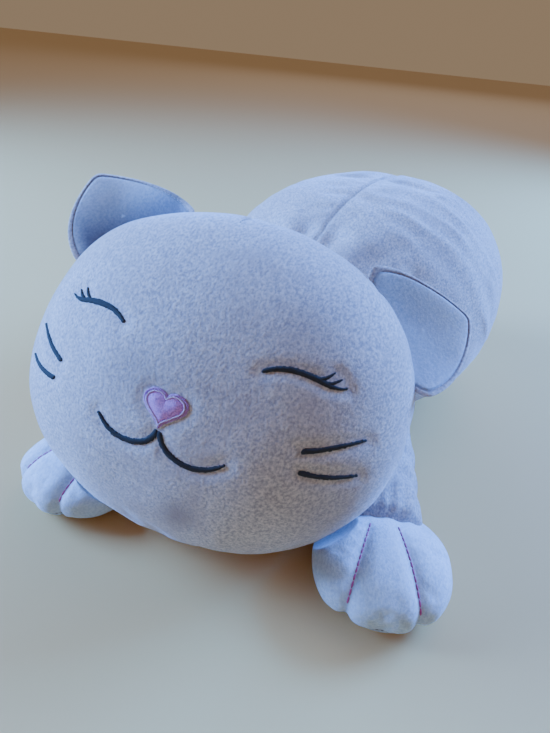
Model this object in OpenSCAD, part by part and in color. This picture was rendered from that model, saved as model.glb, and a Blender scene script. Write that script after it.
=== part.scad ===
// Lying plush cat cushion: a wide tilted head, a loaf-shaped torso turned a little to one side,
// two front legs with three-toed paws, floppy ears, hind feet and a tail.
// The face looks along -Y, the cat's left is +X, and the floor is Z = 0.
// The origin is the middle of the flat belly.

/* [Head] */
// Width of the head across the cheeks
head_w = 283; // [220:1:320]
// Height of the head from chin to crown
head_h = 239; // [190:1:270]
// Thickness of the head from face to back
head_t = 187; // [150:1:210]
// How far the face tilts up
head_lean = 40; // [25:1:50]
// How far the head tips towards the cat's left
head_roll = 6; // [0:1:10]
// Middle of the head: side, front and height
head_pos = [-55, -255, 113];
// Distance of the sewn panel edge in front of the middle of the head
head_seam_y = 8; // [0:1:20]
// Length of the short tuck that runs forwards from the panel edge on the crown
dart_l = 52; // [30:1:60]

/* [Ears] */
// Height of an ear from its base to its tip
ear_h = 68; // [50:1:80]
// Middle of the left ear's base, turned from the crown towards the cheek
ear_left_turn = 57.5; // [45:0.5:60]
// Middle of the right ear's base, turned from the crown towards the cheek
ear_right_turn = 50; // [45:0.5:60]
// How far the left ear leans back
ear_left_lean = 17; // [-5:1:30]
// How far the right ear leans back
ear_right_lean = -8; // [-15:1:15]
// Total thickness of an ear
ear_t = 10; // [8:0.5:14]

/* [Torso] */
// Width of the torso
torso_w = 281; // [220:1:320]
// Length of the torso
torso_l = 341; // [280:1:380]
// Height of the torso above the floor
torso_h = 223; // [180:1:250]
// How far the rump is turned towards the cat's left
torso_turn = 13.4; // [0:0.1:20]

/* [Legs] */
// Length of a front leg from the shoulder to the middle of its paw
leg_l = 132; // [125:1:140]
// Diameter of a front leg's sleeve
leg_d = 58; // [50:1:60]
// Left shoulder's middle
left_shoulder = [60, -161];
// Right shoulder's middle
right_shoulder = [-107, -165];
// Outward angle of the left front leg
left_splay = 11.7; // [5:0.1:20]
// Outward angle of the right front leg
right_splay = 19.3; // [10:0.1:25]
// Width of a front paw
paw_w = 96; // [80:1:104]
// Length of a front paw
paw_l = 110; // [90:1:120]
// Height of a front paw
paw_h = 49; // [40:1:54]
// Height of the seam between the paw's top and its sole
sole_h = 12; // [8:1:16]

/* [Hind feet and tail] */
// Width of a hind foot
hind_w = 58; // [50:1:64]
// Length of a hind foot
hind_l = 84; // [70:1:90]
// Height of a hind foot
hind_h = 34; // [28:1:38]
// Diameter of the tail
tail_d = 32; // [26:1:36]
// Length of the tail between the middles of its round ends
tail_l = 62; // [50:1:70]
// How far the tail points towards the cat's right
tail_turn = 24; // [0:1:30]

/* [Fabric and thread] */
// Thickness of the plush fabric
fabric_t = 2.2; // [1.5:0.1:3]
// Height of the embroidery above the fabric
thread_t = 0.8; // [0.5:0.1:1.2]
// Width of an embroidered stroke
stroke_w = 3.8; // [3:0.1:4.5]
// Width of the nose
nose_w = 27; // [22:1:32]

/* [Hidden] */

$fn = 96;
big = 600;
gap = 0.3;            // room between layers that lie on each other
neck_gap = 6;         // room for the head to rock against the torso and legs
ear_gap = 4.5;        // room for an ear to fold
skin_c = "#d3cbd2";
white_c = "#f2f3f8";
filling_c = "#fbfbf6";
black_c = "#17161c";
pink_c = "#c79ada";
rose_c = "#9c4a78";
seam_c = "#aaa0ab";

// ---------- head ----------

module head_frame() {
    translate(head_pos) rotate([-head_lean, head_roll, 0]) children();
}

// The head's outer form, larger by grow on every side
module head_form(grow = 0) {
    scale([head_w / 2 + grow, head_t / 2 + grow, head_h / 2 + grow]) rotate([90, 0, 0]) sphere(r = 1);
}

// A skin between two sizes of the head, from y0 to y1 in front of or behind its middle
module head_band(inner, outer, y0, y1) {
    head_frame() difference() {
        intersection() {
            head_form(outer);
            translate([-big / 2, y0, -big / 2]) cube([big, y1 - y0, big]);
        }
        head_form(inner);
    }
}

module head_front_panel() {
    color(skin_c) head_band(-fabric_t, 0, -big, -head_seam_y - 1);
}

module head_back_panel() {
    color(skin_c) head_band(-fabric_t, 0, -head_seam_y + 1, big);
}

module head_seam() {
    color(seam_c) head_band(-fabric_t, gap, -head_seam_y - 1 + gap, -head_seam_y + 1 - gap);
}

module head_filling() {
    color(filling_c) head_frame() head_form(-fabric_t - gap);
}

// ---------- embroidery on the face ----------

// A straight stroke with round ends
module bar(a, b, w) {
    run = b - a;
    translate(a) rotate(atan2(run[1], run[0])) {
        translate([0, -w / 2]) square([norm(run), w]);
        circle(d = w);
        translate([norm(run), 0]) circle(d = w);
    }
}

// An arc from a to b that rises by sag to the left of its run, round at a and cut straight at b
module bow(a, b, sag, w) {
    run = b - a;
    half = norm(run) / 2;
    r = (half * half + sag * sag) / (2 * abs(sag));
    reach = asin(half / r);
    up = sag > 0 ? 1 : -1;
    translate((a + b) / 2) rotate(atan2(run[1], run[0])) scale([1, up]) {
        translate([0, abs(sag) - r]) {
            intersection() {
                difference() {
                    circle(r = r + w / 2);
                    circle(r = r - w / 2);
                }
                polygon([[0, 0], [-2 * r * tan(reach), 2 * r], [2 * r * tan(reach), 2 * r]]);
            }
        }
        translate([-half, 0]) circle(d = w);
    }
}

// Lays a flat outline on the face as raised thread; x is across and y is up the face
module on_face(from, to) {
    head_frame() difference() {
        intersection() {
            head_form(to);
            rotate([90, 0, 0]) linear_extrude(height = head_t) children();
        }
        head_form(from);
    }
}

module eye_outline() {
    inner = [45, 4];
    outer = [86, 11.5];
    bow(inner, outer, 3.6, stroke_w);
    bar(outer - [9, -1], outer + [-1, 8], stroke_w * 0.6);
    bar(outer - [4, 0], outer + [4, 6], stroke_w * 0.6);
    bar(outer, outer + [8, 2], stroke_w * 0.6);
}

module left_eye() {
    color(black_c) on_face(gap / 3, thread_t) eye_outline();
}

module right_eye() {
    color(black_c) on_face(gap / 3, thread_t) mirror([1, 0]) eye_outline();
}

// A heart that is w wide, with its lobes' middle at the origin
module heart(w) {
    lobe = w * 0.28;
    for (side = [-1, 1]) translate([side * (w / 2 - lobe), 0]) circle(r = lobe);
    polygon([
        [-w / 2 + lobe * 0.22, -lobe * 0.62], [0, -w * 0.62], [w / 2 - lobe * 0.22, -lobe * 0.62],
        [w / 2 - lobe, lobe * 0.3], [-w / 2 + lobe, lobe * 0.3]
    ]);
}

nose_place = [0, -35];
nose_rim = 2;

module nose() {
    color(pink_c) on_face(gap / 3, thread_t) translate(nose_place) heart(nose_w - 2 * nose_rim - gap);
}

module nose_border() {
    color(rose_c) on_face(gap / 3, thread_t * 1.4) translate(nose_place) difference() {
        heart(nose_w);
        heart(nose_w - 2 * nose_rim);
    }
}

module mouth() {
    middle = [0, -54.5];
    corner = [42, -56];
    color(black_c) on_face(gap / 3, thread_t) {
        for (side = [0, 1]) mirror([side, 0]) bow(corner, middle, 8, stroke_w);
        translate(middle) circle(d = stroke_w * 1.2);
    }
}

module whisker_outline() {
    bar([82, -31], [115, -11], stroke_w * 0.7);
    bar([84, -42], [118, -31], stroke_w * 0.7);
}

module left_whiskers() {
    color(black_c) on_face(gap / 3, thread_t) whisker_outline();
}

module right_whiskers() {
    color(black_c) on_face(gap / 3, thread_t) mirror([1, 0]) whisker_outline();
}

dart_x = -10;         // the tuck's distance from the middle of the crown
dart_w = 1.2;

// The short tuck that shapes the crown, from the panel edge forwards
module crown_dart() {
    color(seam_c) head_frame() difference() {
        intersection() {
            head_form(thread_t * 0.6);
            translate([dart_x - dart_w / 2, -head_seam_y - 1 - dart_l, 0]) cube([dart_w, dart_l, head_h]);
        }
        head_form(gap / 3);
    }
}

// ---------- ears ----------

ear_y = -8;           // the ears' base line, in front of the middle of the head
ear_span = 43;        // angle that an ear's base covers, seen from the front
ring_k = sqrt(1 - pow(2 * ear_y / head_t, 2));

// A point on the head's ring at the ears' base line, turned from the crown towards the cheek
function ring_point(turn) =
    let (a = ring_k * head_w / 2, c = ring_k * head_h / 2)
    let (r = 1 / sqrt(pow(sin(turn) / a, 2) + pow(cos(turn) / c, 2)))
    [r * sin(turn), r * cos(turn)];

// Middle, length and slope of an ear's base
function ear_mid(turn) = (ring_point(turn - ear_span / 2) + ring_point(turn + ear_span / 2)) / 2;
function ear_run(turn) = ring_point(turn + ear_span / 2) - ring_point(turn - ear_span / 2);

module ear_frame(turn, lean) {
    mid = ear_mid(turn);
    run = ear_run(turn);
    translate([mid[0], ear_y, mid[1]]) rotate([0, atan2(-run[1], run[0]), 0]) rotate([-lean, 0, 0])
        children();
}

// The ear seen flat: x runs along the base towards the cheek, y from the base to the tip
module ear_outline(l, apex, grow = 0) {
    hull() {
        translate([apex, ear_h - 13]) circle(r = 13 + grow, $fn = 32);
        for (side = [-1, 1]) translate([side * (l / 2 - 7), 4]) circle(r = 7 + grow, $fn = 32);
    }
}

ear_curve = 85;       // radius of the cupped front of an ear

// One layer of an ear, from depth from to depth to behind its cupped front
module ear_layer(turn, lean, apex, from, to, grow) {
    l = norm(ear_run(turn));
    head_frame() difference() {
        ear_frame(turn, lean) intersection() {
            translate([0, 40, 0]) rotate([90, 0, 0]) linear_extrude(height = 80) ear_outline(l, apex, grow);
            translate([0, -ear_curve - ear_t / 2 + 4, ear_h / 2]) difference() {
                sphere(r = ear_curve + to);
                sphere(r = ear_curve + from);
            }
        }
        head_form(ear_gap);
    }
}

module ear_front(turn, lean, apex) {
    color(white_c) ear_layer(turn, lean, apex, 0, fabric_t, -1);
}

module ear_wadding(turn, lean, apex) {
    color(filling_c) ear_layer(turn, lean, apex, fabric_t + gap, ear_t - fabric_t - gap, -3);
}

module ear_back(turn, lean, apex) {
    color(skin_c) ear_layer(turn, lean, apex, ear_t - fabric_t, ear_t, -1);
}

// The stitched edge that joins the front and the back of an ear
module ear_seam(turn, lean, apex) {
    color(seam_c) difference() {
        ear_layer(turn, lean, apex, fabric_t + gap, ear_t - fabric_t - gap, -1);
        ear_layer(turn, lean, apex, fabric_t, ear_t - fabric_t, -2.4);
    }
}

// Distance of each ear's tip from the middle of its base, towards the cheek
left_apex = 2;
right_apex = 15;

module left_ear_front() ear_front(ear_left_turn, ear_left_lean, left_apex);
module left_ear_back() ear_back(ear_left_turn, ear_left_lean, left_apex);
module left_ear_wadding() ear_wadding(ear_left_turn, ear_left_lean, left_apex);
module left_ear_seam() ear_seam(ear_left_turn, ear_left_lean, left_apex);

// Mirrors a left-hand piece of the head to its right
module head_mirror() {
    head_frame() mirror([1, 0, 0]) rotate([0, -head_roll, 0]) rotate([head_lean, 0, 0])
        translate(-head_pos) children();
}

module right_ear_front() head_mirror() ear_front(ear_right_turn, ear_right_lean, right_apex);
module right_ear_back() head_mirror() ear_back(ear_right_turn, ear_right_lean, right_apex);
module right_ear_wadding() head_mirror() ear_wadding(ear_right_turn, ear_right_lean, right_apex);
module right_ear_seam() head_mirror() ear_seam(ear_right_turn, ear_right_lean, right_apex);

// ---------- torso ----------

torso_c = torso_h / 1.9;          // half of the uncut torso's height
torso_z = torso_h - torso_c;      // height of its middle

module torso_frame() {
    rotate([0, 0, -torso_turn]) children();
}

neck_y = -148;                    // the torso is open in front of here, where the head is sewn on

// The torso's outer form, larger by grow on every side. turn moves the ball's poles away from an edge.
module torso_form(grow = 0, turn = [0, 0, 90]) {
    translate([0, 0, torso_z])
        scale([torso_w / 2 + grow, torso_l / 2 + grow, torso_c + grow]) rotate(turn) sphere(r = 1);
}

// Keeps what lies between sides x0 and x1, behind the neck and between heights z0 and z1
module torso_piece(x0, x1, z0, z1, turn = [0, 0, 90]) {
    torso_frame() difference() {
        intersection() {
            torso_form(0, turn);
            translate([x0, neck_y, z0]) cube([x1 - x0, big, z1 - z0]);
        }
        children();
    }
}

module torso_left_panel() {
    color(skin_c) torso_piece(1, big, fabric_t + gap, big) torso_form(-fabric_t);
}

module torso_right_panel() {
    color(skin_c) torso_piece(-big, -1, fabric_t + gap, big) torso_form(-fabric_t);
}

module back_seam() {
    across = [0, 90, 0];
    color(seam_c) torso_piece(-1 + gap, 1 - gap, torso_z, big, across) torso_form(-fabric_t, across);
}

module belly_panel() {
    color(skin_c) torso_piece(-big, big, 0, fabric_t);
}

module torso_filling() {
    color(filling_c) torso_frame() intersection() {
        torso_form(-fabric_t - gap);
        translate([-big / 2, neck_y, fabric_t + gap]) cube(big);
    }
}

// A blank cloth label sewn into the side of the rump
label = [20, 34, 0.8];
label_root = [-127, 60, 75.6];    // where the label leaves the seam, in the torso's own frame
label_droop = 40;
module care_label() {
    color(white_c) torso_frame() translate(label_root) rotate([0, -label_droop, 0])
        translate([-label[0], 0, 0]) cube(label);
}

// ---------- front legs ----------

// The leg runs along +X here, from the shoulder at the origin to the paw
module leg_frame(shoulder, angle) {
    translate([shoulder[0], shoulder[1], 0]) rotate([0, 0, angle - 90]) children();
}

pad_sink = 2;         // how far the pad's round underside is cut off flat

// A flat-bottomed pad that is size long, wide and high, larger by grow on every side.
// turn moves the ball's poles away from an edge.
module pad_form(size, grow = 0, turn = [0, 0, 0]) {
    translate([0, 0, size[2] / 2 - pad_sink])
        scale([size[0] / 2 + grow, size[1] / 2 + grow, size[2] / 2 + pad_sink + grow])
            rotate(turn) sphere(r = 1);
}

// The pad's skin between two sizes of it and heights z0 and z1
module pad_band(size, inner, outer, z0, z1, turn = [0, 0, 0]) {
    difference() {
        intersection() {
            pad_form(size, outer, turn);
            slab(z0, z1);
        }
        pad_form(size, inner, turn);
    }
}

// A pad's fabric from the floor up to height z1, open above
module pad_tray(size, z1) {
    difference() {
        intersection() {
            pad_form(size);
            slab(0, z1);
        }
        intersection() {
            pad_form(size, -fabric_t);
            slab(fabric_t, big);
        }
    }
}

module pad_filling(size) {
    intersection() {
        pad_form(size, -fabric_t - gap);
        slab(fabric_t + gap, big);
    }
}

module slab(z0, z1) {
    translate([-big / 2, -big / 2, z0]) cube([big, big, z1 - z0]);
}

paw = [paw_l, paw_w, paw_h];

// Puts a pad at the end of the leg
module at_paw() {
    translate([leg_l, 0, 0]) children();
}

module sleeve_form(grow = 0) {
    translate([0, 0, leg_d / 2 + gap]) {
        sphere(r = leg_d / 2 + grow);
        rotate([0, 90, 0]) cylinder(r = leg_d / 2 + grow, h = leg_l - paw_l / 4);
    }
}

// Takes away the room that the head needs
module clear_of_head() {
    difference() {
        children();
        head_frame() head_form(neck_gap);
    }
}

module leg_sleeve(shoulder, angle) {
    color(skin_c) clear_of_head() leg_frame(shoulder, angle) difference() {
        sleeve_form();
        sleeve_form(-fabric_t);
        at_paw() pad_form(paw, gap);
    }
}

module leg_filling(shoulder, angle) {
    color(filling_c) clear_of_head() leg_frame(shoulder, angle) difference() {
        sleeve_form(-fabric_t - gap);
        at_paw() pad_form(paw, gap);
    }
}

module paw_piece(shoulder, angle) {
    clear_of_head() leg_frame(shoulder, angle) at_paw() children();
}

module paw_top(shoulder, angle, turn = [0, 0, 0]) {
    color(white_c) paw_piece(shoulder, angle) pad_band(paw, -fabric_t, 0, sole_h + 1, big, turn);
}

module paw_sole(shoulder, angle) {
    color(white_c) paw_piece(shoulder, angle) pad_tray(paw, sole_h - 1);
}

module paw_seam(shoulder, angle) {
    color(seam_c) paw_piece(shoulder, angle)
        pad_band(paw, -fabric_t, gap, sole_h - 1 + gap, sole_h + 1 - gap);
}

module paw_filling(shoulder, angle) {
    color(filling_c) paw_piece(shoulder, angle) pad_filling(paw);
}

// Two stitched lines that divide the paw into three toes
toe_turn = 13;
module toe_stitches(shoulder, angle) {
    color(rose_c) paw_piece(shoulder, angle) difference() {
        intersection() {
            pad_form(paw, thread_t);
            for (side = [-1, 1]) translate([-paw_l / 8, side * paw_w / 10, sole_h + 3])
                rotate([0, 0, side * toe_turn]) translate([0, -0.7, 0]) cube([paw_l, 1.4, big]);
        }
        pad_form(paw, gap / 3);
    }
}

module left_leg_sleeve() leg_sleeve(left_shoulder, left_splay);
module left_leg_filling() leg_filling(left_shoulder, left_splay);
module left_paw_top() paw_top(left_shoulder, left_splay);
module left_paw_sole() paw_sole(left_shoulder, left_splay);
module left_paw_seam() paw_seam(left_shoulder, left_splay);
module left_toe_stitches() toe_stitches(left_shoulder, left_splay);
module left_paw_filling() paw_filling(left_shoulder, left_splay);

module right_leg_sleeve() leg_sleeve(right_shoulder, -right_splay);
module right_leg_filling() leg_filling(right_shoulder, -right_splay);
module right_paw_top() paw_top(right_shoulder, -right_splay, [0, 90, 90]);
module right_paw_sole() paw_sole(right_shoulder, -right_splay);
module right_paw_seam() paw_seam(right_shoulder, -right_splay);
module right_toe_stitches() toe_stitches(right_shoulder, -right_splay);
module right_paw_filling() paw_filling(right_shoulder, -right_splay);

// ---------- hind feet ----------

// Middle of the left heel, in the torso's own frame
heel = [66, 122];
hind_turn = 12;        // how far the hind feet point outwards

hind = [hind_l, hind_w, hind_h];
heel_in = 10;         // distance of the heel's pivot from the foot's back end

// side is 1 for the left foot and -1 for the right; the foot runs along +Y from its heel
module hind_frame(side) {
    torso_frame() scale([side, 1, 1]) translate(heel) rotate([0, 0, -hind_turn])
        translate([0, hind_l / 2 - heel_in, 0]) rotate([0, 0, 90]) children();
}

module hind_foot(side) {
    color(skin_c) hind_frame(side) pad_band(hind, -fabric_t, 0, sole_h / 2 + gap, big);
}

module hind_sole(side) {
    color(white_c) hind_frame(side) pad_tray(hind, sole_h / 2);
}

module hind_filling(side) {
    color(filling_c) hind_frame(side) pad_filling(hind);
}

module left_hind_foot() hind_foot(1);
module left_hind_sole() hind_sole(1);
module left_hind_filling() hind_filling(1);
module right_hind_foot() hind_foot(-1);
module right_hind_sole() hind_sole(-1);
module right_hind_filling() hind_filling(-1);

// ---------- tail ----------

tail_root = [0, torso_l / 2 - 7, 37];
tail_droop = 19;

// A round-ended rod, larger by grow on every side
module tail_form(grow = 0) {
    r = tail_d / 2 + grow;
    torso_frame() translate(tail_root) rotate([-90 - tail_droop, 0, tail_turn]) {
        sphere(r = r);
        cylinder(r = r, h = tail_l);
        translate([0, 0, tail_l]) sphere(r = r);
    }
}

module tail_cover() {
    color(skin_c) difference() {
        tail_form();
        tail_form(-fabric_t);
    }
}

module tail_filling() {
    color(filling_c) tail_form(-fabric_t - gap);
}

head_front_panel();
head_back_panel();
head_seam();
head_filling();
crown_dart();
left_eye();
right_eye();
nose();
nose_border();
mouth();
left_whiskers();
right_whiskers();
left_ear_front();
left_ear_back();
left_ear_wadding();
left_ear_seam();
right_ear_front();
right_ear_back();
right_ear_wadding();
right_ear_seam();
torso_left_panel();
torso_right_panel();
back_seam();
belly_panel();
torso_filling();
care_label();
left_leg_sleeve();
left_leg_filling();
left_paw_top();
left_paw_sole();
left_paw_seam();
left_toe_stitches();
left_paw_filling();
right_leg_sleeve();
right_leg_filling();
right_paw_top();
right_paw_sole();
right_paw_seam();
right_toe_stitches();
right_paw_filling();
left_hind_foot();
left_hind_sole();
left_hind_filling();
right_hind_foot();
right_hind_sole();
right_hind_filling();
tail_cover();
tail_filling();
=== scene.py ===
"""Builds the covers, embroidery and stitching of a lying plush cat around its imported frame."""
import math

import bpy
import numpy as np
from mathutils import Matrix, Vector, noise
from mathutils.bvhtree import BVHTree


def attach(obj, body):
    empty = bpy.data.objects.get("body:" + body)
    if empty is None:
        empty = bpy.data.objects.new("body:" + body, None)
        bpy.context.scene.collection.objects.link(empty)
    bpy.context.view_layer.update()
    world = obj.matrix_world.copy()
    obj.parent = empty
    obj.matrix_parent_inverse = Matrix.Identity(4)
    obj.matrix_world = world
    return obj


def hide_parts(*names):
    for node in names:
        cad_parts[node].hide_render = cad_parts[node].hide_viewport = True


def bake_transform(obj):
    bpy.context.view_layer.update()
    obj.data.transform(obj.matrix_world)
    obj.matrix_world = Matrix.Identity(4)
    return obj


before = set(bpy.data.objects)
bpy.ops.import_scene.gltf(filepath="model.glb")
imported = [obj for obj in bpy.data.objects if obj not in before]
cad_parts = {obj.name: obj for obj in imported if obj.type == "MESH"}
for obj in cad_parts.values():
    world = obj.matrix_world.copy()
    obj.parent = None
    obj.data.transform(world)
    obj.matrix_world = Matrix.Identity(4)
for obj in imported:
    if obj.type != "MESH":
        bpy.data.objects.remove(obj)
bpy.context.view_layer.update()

bl_info = {
    "name": "Lying Plush Cat",
    "version": (1, 0, 0),
    "blender": (4, 5, 0),
    "location": "View3D > Sidebar > Plush Cat",
    "description": "Sewn and stuffed covers, embroidery and stitching of a lying plush cat",
    "category": "Add Mesh",
}

MM = 0.001

# ---------- where the sewn parts sit, in millimetres and degrees ----------

HEAD_PLACE = (-55, -255, 112)
HEAD_LEAN = 40
HEAD_ROLL = 6
HEAD_HALF = np.array((140.0, 92.3, 118.1))
HEAD_ROUNDNESS = 2.23       # exponent of the head's outline: 2 is an ellipse, more is fuller
HEAD_SEAM_Y = -8
DART_X, DART_FRONT = -11, -61

TORSO_TURN = 13.4
TORSO_MIDDLE = 105.6
TORSO_HALF = np.array((139.5, 169.5, 116.5))

EAR_BASE_Y = -8
EAR_CUP = 62
EAR_SPAN = 43
EAR_HEIGHT = 68
# turn is from the crown towards the cheek, apex is how far the tip is off the middle of the base, and
# shade is how much painted shade darkens the base of the front, where the cup's shadow falls
EARS = {"left": dict(turn=57.5, lean=17, apex=2, shade=0.6),
        "right": dict(turn=50, lean=-8, apex=15, shade=1.7)}

LEG_LENGTH = 132
SHOULDERS = {"left": ((60, -161), 11.7), "right": ((-107, -165), -19.3)}
PAW_HALF = np.array((54.5, 48.5, 23.0))
HEEL = (66, 122)
HIND_TURN = 12
HIND_HALF = np.array((41.5, 28.6, 16.6))
HIND_HEEL_IN = 10
TAIL_ROOT = (0, 163.5, 37)
TAIL_DROOP = 19
TAIL_TURN = 24
TAIL_LENGTH = 62
TAIL_RADIUS = 15.8


def linear(hex_colour):
    """An sRGB hex colour as linear RGBA."""
    parts = [int(hex_colour[i:i + 2], 16) / 255 for i in (1, 3, 5)]
    return [c / 12.92 if c <= 0.04045 else ((c + 0.055) / 1.055) ** 2.4 for c in parts] + [1.0]


def turn(degrees, axis):
    return Matrix.Rotation(math.radians(degrees), 4, axis)


def shift(place):
    return Matrix.Translation([c * MM for c in place])


HEAD = shift(HEAD_PLACE) @ turn(HEAD_ROLL, "Y") @ turn(-HEAD_LEAN, "X")
TORSO = turn(-TORSO_TURN, "Z")


def placed(points, matrix):
    """Points in millimetres in a part's own frame, moved to metres in the row frame."""
    m = np.array(matrix)
    return points * MM @ m[:3, :3].T + m[:3, 3]


def local(points, matrix):
    """Points in metres in the row frame, moved to millimetres in a part's own frame."""
    m = np.array(matrix.inverted())
    return (points @ m[:3, :3].T + m[:3, 3]) / MM


# ---------- meshes ----------

def ball(cuts):
    """Evenly spread unit directions and the quads between them: a divided cube blown up to a ball."""
    step = np.tan(np.linspace(-np.pi / 4, np.pi / 4, cuts + 1))
    a, b = np.meshgrid(step, step, indexing="ij")
    one = np.ones_like(a)
    sides = ((one, a, b), (-one, b, a), (b, one, a), (a, -one, b), (a, b, one), (b, a, -one))
    points = np.concatenate([np.stack(s, -1).reshape(-1, 3) for s in sides])
    grid = np.arange((cuts + 1) ** 2).reshape(cuts + 1, cuts + 1)
    one_side = np.stack([grid[:-1, :-1], grid[1:, :-1], grid[1:, 1:], grid[:-1, 1:]], -1).reshape(-1, 4)
    quads = np.concatenate([one_side + k * (cuts + 1) ** 2 for k in range(6)])
    _, first, back = np.unique(np.round(points, 7), axis=0, return_index=True, return_inverse=True)
    points = points[first]
    return points / np.linalg.norm(points, axis=1)[:, None], back.reshape(-1)[quads]


def blown(directions, half, roundness):
    """Directions as points on a stuffed form with these half sizes."""
    size = (np.abs(directions) ** roundness).sum(1) ** (-1 / roundness)
    return directions * size[:, None] * half


def tube(centres, across, up, wide, high, around):
    """A closed tube: rings of half width and half height round each centre, pulled shut at both ends."""
    angle = np.linspace(0, 2 * np.pi, around, endpoint=False)
    rings = (centres[:, None] + across[:, None] * (wide[:, None] * np.cos(angle))[..., None]
             + up[:, None] * (high[:, None] * np.sin(angle))[..., None])
    points = np.concatenate([rings.reshape(-1, 3), centres[:1], centres[-1:]])
    count = len(centres)
    i, j = np.meshgrid(np.arange(count - 1), np.arange(around), indexing="ij")
    k = (j + 1) % around
    quads = np.stack([i * around + j, i * around + k, (i + 1) * around + k, (i + 1) * around + j], -1)
    faces = [tuple(q) for q in quads.reshape(-1, 4)]
    last = (count - 1) * around
    for j in range(around):
        k = (j + 1) % around
        faces.append((k, j, count * around))
        faces.append((last + j, last + k, count * around + 1))
    return points, faces


def normals(points, faces):
    """Unit normals of a mesh of quads at its points."""
    quads = np.asarray(faces)
    face = np.cross(points[quads[:, 2]] - points[quads[:, 0]], points[quads[:, 3]] - points[quads[:, 1]])
    total = np.zeros_like(points)
    for corner in range(4):
        np.add.at(total, quads[:, corner], face)
    return total / np.maximum(np.linalg.norm(total, axis=1), 1e-12)[:, None]


def waves(points, size, seed):
    """Smooth noise from about -1 to 1 at each point, with swells of that size in millimetres."""
    offset = Vector((seed * 7.31, seed * 3.17, seed * 5.73))
    return np.array([noise.noise(Vector(p) / size + offset) for p in points])


def dip(distance, width):
    """1 at distance nought, falling smoothly to nought past the width."""
    return np.exp(-(distance / width) ** 2)


def step_up(value, low, high):
    t = np.clip((value - low) / (high - low), 0, 1)
    return t * t * (3 - 2 * t)


def flattened(height, softness):
    """Heights pressed flat by the surface beneath, with a soft corner."""
    return 0.5 * (height + np.sqrt(height ** 2 + softness ** 2))


def divided(points, faces):
    """The same mesh with each face divided in four and smoothed."""
    mesh = bpy.data.meshes.new("divided")
    mesh.from_pydata(points.tolist(), [], [tuple(int(i) for i in f) for f in faces])
    work = bpy.data.objects.new("divided", mesh)
    bpy.context.scene.collection.objects.link(work)
    work.modifiers.new("Divide", "SUBSURF").levels = 1
    seen = work.evaluated_get(bpy.context.evaluated_depsgraph_get()).to_mesh()
    made = np.array([v.co for v in seen.vertices])
    quads = np.array([p.vertices for p in seen.polygons])
    bpy.data.objects.remove(work)
    bpy.data.meshes.remove(mesh)
    return made, quads


def stuffed(points, faces, held, give, pressure=4.0, slack=0.0):
    """Fills a cover by cloth simulation. Points and give are in millimetres, held is how firmly each point
    is held by a seam or by what it lies on, and no point moves further than give."""
    scene = bpy.context.scene
    mesh = bpy.data.meshes.new("stuffed")
    mesh.from_pydata((points * MM).tolist(), [], [tuple(int(i) for i in f) for f in faces])
    work = bpy.data.objects.new("stuffed", mesh)
    scene.collection.objects.link(work)
    group = work.vertex_groups.new(name="held")
    for level in (0.25, 0.5, 0.75, 1.0):
        near = np.nonzero((held > level - 0.25) & (held <= level))[0]
        group.add(near.tolist(), level, "REPLACE")
    cloth = work.modifiers.new("Cloth", "CLOTH")
    settings = cloth.settings
    settings.quality = 6
    settings.mass = 0.2
    settings.tension_stiffness = settings.compression_stiffness = 14
    settings.shear_stiffness = 6
    settings.bending_stiffness = 0.4
    settings.vertex_group_mass = "held"
    settings.shrink_min = -slack
    settings.use_pressure = True
    settings.uniform_pressure_force = pressure
    settings.effector_weights.gravity = 0
    cloth.collision_settings.use_collision = False
    cloth.point_cache.frame_start, cloth.point_cache.frame_end = 1, 20
    for moment in range(1, 21):
        scene.frame_set(moment)
    seen = work.evaluated_get(bpy.context.evaluated_depsgraph_get()).to_mesh()
    moved = np.array([v.co for v in seen.vertices]) / MM - points
    scene.frame_set(1)
    bpy.data.objects.remove(work)
    bpy.data.meshes.remove(mesh)
    far = np.maximum(np.linalg.norm(moved, axis=1), 1e-9)
    return points + moved * (give * np.tanh(far / give) / far)[:, None]


def outside_head(points, room):
    """Row-frame points pushed out of the head, so that a paw or sleeve gives way under it."""
    inner = local(points, HEAD) / (HEAD_HALF + room)
    depth = (np.abs(inner) ** HEAD_ROUNDNESS).sum(1) ** (1 / HEAD_ROUNDNESS)
    push = np.where(depth < 1, 1 / np.maximum(depth, 0.5), 1.0)
    moved = placed(inner * push[:, None] * (HEAD_HALF + room), HEAD)
    moved[:, 2] = np.maximum(moved[:, 2], 0.3 * MM)
    return moved


def piece(name, points, faces, materials, marks=None, picks=None):
    """A smooth mesh in the row frame. marks are numbers at each point that its materials read, and picks is
    the material of each face. Each point also keeps where it was sewn, so that the pile moves with it."""
    mesh = bpy.data.meshes.new(name)
    mesh.from_pydata(np.asarray(points).tolist(), [], [tuple(int(i) for i in f) for f in faces])
    mesh.polygons.foreach_set("use_smooth", [True] * len(mesh.polygons))
    for material in materials:
        mesh.materials.append(material)
    if picks is not None:
        mesh.polygons.foreach_set("material_index", [int(i) for i in picks])
    sewn = mesh.attributes.new("sewn_at", "FLOAT_VECTOR", "POINT")
    sewn.data.foreach_set("vector", np.asarray(points, np.float32).ravel())
    for mark, values in (marks or {}).items():
        layer = mesh.attributes.new(mark, "FLOAT", "POINT")
        layer.data.foreach_set("value", np.asarray(values, np.float32))
    made = bpy.data.objects.new(name, mesh)
    bpy.context.scene.collection.objects.link(made)
    return made


# ---------- thread ----------

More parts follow.
